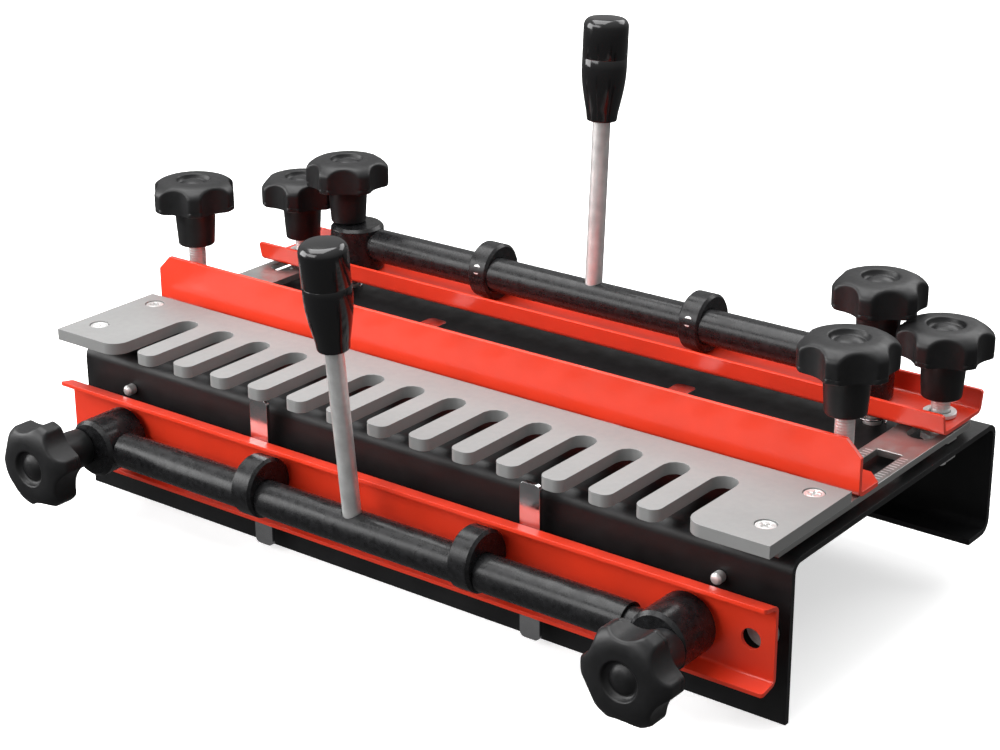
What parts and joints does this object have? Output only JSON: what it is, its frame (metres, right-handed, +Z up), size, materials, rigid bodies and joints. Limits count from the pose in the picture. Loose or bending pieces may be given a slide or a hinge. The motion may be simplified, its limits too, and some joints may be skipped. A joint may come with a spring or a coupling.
{
  "type": "dovetail jig",
  "caption": "Router dovetail jig with a finger comb on sliding brackets, a fence, and front and rear clamp bars worked by cam levers.",
  "frame": {"origin": "middle of the base's top face", "axes": "+X along the comb to the operator's right, +Y away from the operator, +Z up"},
  "size_m": [0.3912, 0.2337, 0.2218],
  "materials": {
    "base_black": "black satin powder coat on folded steel sheet",
    "red_paint": "semi-gloss orange-red paint on steel sheet",
    "comb_alloy": "fine matte light grey",
    "zinc": "zinc plated, satin",
    "bright_plate": "bright plated",
    "black_oxide": "black oxide, satin",
    "knob_plastic": "black moulded plastic with a slight sheen",
    "grip_plastic": "glossy black",
    "brass": "plain turned"
  },
  "bodies": {
    "base": {"base_channel": "base_black", "template_fence": "red_paint", "fence_strip_left": "bright_plate", "fence_strip_right": "bright_plate", "template_stud_front_left": "zinc", "template_stud_front_right": "zinc", "template_stud_rear_left": "zinc", "template_stud_rear_right": "zinc", "front_clamp_stud_left": "zinc", "front_clamp_spring_left": "bright_plate", "front_clamp_stud_right": "zinc", "front_clamp_spring_right": "bright_plate", "rear_clamp_stud_left": "zinc", "rear_clamp_spring_left": "bright_plate", "rear_clamp_stud_right": "zinc", "rear_clamp_spring_right": "bright_plate", "end_bolt_left": "zinc", "front_pin_left": "zinc", "end_bolt_right": "zinc", "front_pin_right": "zinc"},
    "template": {"template_comb": "comb_alloy", "template_bracket_left": "zinc", "template_bracket_right": "zinc", "comb_screw_front_left": "zinc", "comb_screw_front_right": "zinc", "comb_screw_rear_left": "zinc", "comb_screw_rear_right": "zinc"},
    "template_knob_insert_front_left_body": {"template_knob_insert_front_left": "brass"},
    "template_knob_front_left_body": {"template_knob_front_left": "knob_plastic"},
    "template_knob_insert_front_right_body": {"template_knob_insert_front_right": "brass"},
    "template_knob_front_right_body": {"template_knob_front_right": "knob_plastic"},
    "template_knob_insert_rear_left_body": {"template_knob_insert_rear_left": "brass"},
    "template_knob_rear_left_body": {"template_knob_rear_left": "knob_plastic"},
    "template_knob_insert_rear_right_body": {"template_knob_insert_rear_right": "brass"},
    "template_knob_rear_right_body": {"template_knob_rear_right": "knob_plastic"},
    "front_carriage": {"front_clamp_block_left": "black_oxide", "front_clamp_block_right": "black_oxide"},
    "front_cam_shaft": {"front_clamp_tube": "black_oxide", "front_cam_collar_left": "black_oxide", "front_cam_collar_right": "black_oxide", "front_lever_rod": "zinc", "front_lever_grip": "grip_plastic"},
    "front_bar": {"front_clamp_bar": "red_paint", "front_bar_strip_left": "bright_plate", "front_bar_strip_right": "bright_plate"},
    "front_clamp_knob_left_body": {"front_clamp_knob_left": "knob_plastic"},
    "front_clamp_knob_right_body": {"front_clamp_knob_right": "knob_plastic"},
    "rear_carriage": {"rear_clamp_block_left": "black_oxide", "rear_clamp_block_right": "black_oxide"},
    "rear_cam_shaft": {"rear_clamp_tube": "black_oxide", "rear_cam_collar_left": "black_oxide", "rear_cam_collar_right": "black_oxide", "rear_lever_rod": "zinc", "rear_lever_grip": "grip_plastic"},
    "rear_bar": {"rear_clamp_bar": "red_paint", "rear_bar_washer_left": "zinc", "rear_bar_washer_right": "zinc"},
    "rear_clamp_knob_left_body": {"rear_clamp_knob_left": "knob_plastic"},
    "rear_clamp_knob_right_body": {"rear_clamp_knob_right": "knob_plastic"}
  },
  "joints": [
    {"name": "template_shift", "type": "slide", "parent": "base", "child": "template", "axis": [0, 1, 0], "range_m": [-0.0055, 0.0048]},
    {"name": "template_knob_front_left_travel", "type": "slide", "parent": "base", "child": "template_knob_insert_front_left_body", "axis": [0, 0, 1], "range_m": [-0.02135, 0.0026]},
    {"name": "template_knob_front_left_turn", "type": "hinge", "parent": "template_knob_insert_front_left_body", "child": "template_knob_front_left_body", "pos_m": [-0.174, -0.02295, 0], "axis": [0, 0, 1], "range_deg": [-6120, 720]},
    {"name": "template_knob_front_right_travel", "type": "slide", "parent": "base", "child": "template_knob_insert_front_right_body", "axis": [0, 0, 1], "range_m": [-0.02135, 0.0026]},
    {"name": "template_knob_front_right_turn", "type": "hinge", "parent": "template_knob_insert_front_right_body", "child": "template_knob_front_right_body", "pos_m": [0.174, -0.02295, 0], "axis": [0, 0, 1], "range_deg": [-6120, 720]},
    {"name": "template_knob_rear_left_travel", "type": "slide", "parent": "base", "child": "template_knob_insert_rear_left_body", "axis": [0, 0, 1], "range_m": [-0.00573, 0.0006]},
    {"name": "template_knob_rear_left_turn", "type": "hinge", "parent": "template_knob_insert_rear_left_body", "child": "template_knob_rear_left_body", "pos_m": [-0.1751, 0.05215, 0], "axis": [0, 0, 1], "range_deg": [-1620, 144]},
    {"name": "template_knob_rear_right_travel", "type": "slide", "parent": "base", "child": "template_knob_insert_rear_right_body", "axis": [0, 0, 1], "range_m": [-0.00573, 0.0006]},
    {"name": "template_knob_rear_right_turn", "type": "hinge", "parent": "template_knob_insert_rear_right_body", "child": "template_knob_rear_right_body", "pos_m": [0.1774, 0.05215, 0], "axis": [0, 0, 1], "range_deg": [-1620, 144]},
    {"name": "front_clamp_travel", "type": "slide", "parent": "base", "child": "front_carriage", "axis": [0, 1, 0], "range_m": [-0.015, 0.002], "deforming": ["front_clamp_spring_left", "front_clamp_spring_right"]},
    {"name": "front_clamp_knob_left_turn", "type": "hinge", "parent": "front_carriage", "child": "front_clamp_knob_left_body", "pos_m": [-0.1568, -0.10925, -0.0315], "axis": [0, 1, 0], "range_deg": [-4340, 596]},
    {"name": "front_clamp_knob_right_turn", "type": "hinge", "parent": "front_carriage", "child": "front_clamp_knob_right_body", "pos_m": [0.1568, -0.10925, -0.0315], "axis": [0, 1, 0], "range_deg": [-4340, 596]},
    {"name": "front_lever_swing", "type": "hinge", "parent": "front_carriage", "child": "front_cam_shaft", "pos_m": [0, -0.10925, -0.0315], "axis": [1, 0, 0], "range_deg": [-5, 40]},
    {"name": "front_bar_travel", "type": "slide", "parent": "front_carriage", "child": "front_bar", "axis": [0, 1, 0], "range_m": [-0.0026, 0.0004]},
    {"name": "rear_clamp_travel", "type": "slide", "parent": "base", "child": "rear_carriage", "axis": [0, 0, 1], "range_m": [0, 0.00562], "deforming": ["rear_clamp_spring_left", "rear_clamp_spring_right"]},
    {"name": "rear_clamp_knob_left_turn", "type": "hinge", "parent": "rear_carriage", "child": "rear_clamp_knob_left_body", "pos_m": [-0.1444, 0.05185, 0.0244], "axis": [0, 0, 1], "range_deg": [-20, 1640]},
    {"name": "rear_clamp_knob_right_turn", "type": "hinge", "parent": "rear_carriage", "child": "rear_clamp_knob_right_body", "pos_m": [0.1467, 0.05185, 0.0244], "axis": [0, 0, 1], "range_deg": [-20, 1640]},
    {"name": "rear_lever_swing", "type": "hinge", "parent": "rear_carriage", "child": "rear_cam_shaft", "pos_m": [0, 0.05185, 0.0244], "axis": [1, 0, 0], "range_deg": [-32, 3]},
    {"name": "rear_bar_travel", "type": "slide", "parent": "rear_carriage", "child": "rear_bar", "axis": [0, 0, 1], "range_m": [-0.0022, 0.0003]}
  ],
  "couplings": [
    {"joint": "template_knob_front_left_travel", "follows": "template_knob_front_left_turn", "m_per_rad": 0.00019894},
    {"joint": "template_knob_front_right_travel", "follows": "template_knob_front_right_turn", "m_per_rad": 0.00019894},
    {"joint": "template_knob_rear_left_travel", "follows": "template_knob_rear_left_turn", "m_per_rad": 0.00019894},
    {"joint": "template_knob_rear_right_travel", "follows": "template_knob_rear_right_turn", "m_per_rad": 0.00019894},
    {"joint": "front_clamp_knob_left_turn", "follows": "front_clamp_travel", "rad_per_m": 5026.5},
    {"joint": "front_clamp_knob_right_turn", "follows": "front_clamp_travel", "rad_per_m": 5026.5},
    {"joint": "front_bar_travel", "follows": "front_lever_swing", "m_per_rad": -0.0036},
    {"joint": "rear_clamp_knob_left_turn", "follows": "rear_clamp_travel", "rad_per_m": 5026.5},
    {"joint": "rear_clamp_knob_right_turn", "follows": "rear_clamp_travel", "rad_per_m": 5026.5},
    {"joint": "rear_bar_travel", "follows": "rear_lever_swing", "m_per_rad": 0.00375}
  ]
}
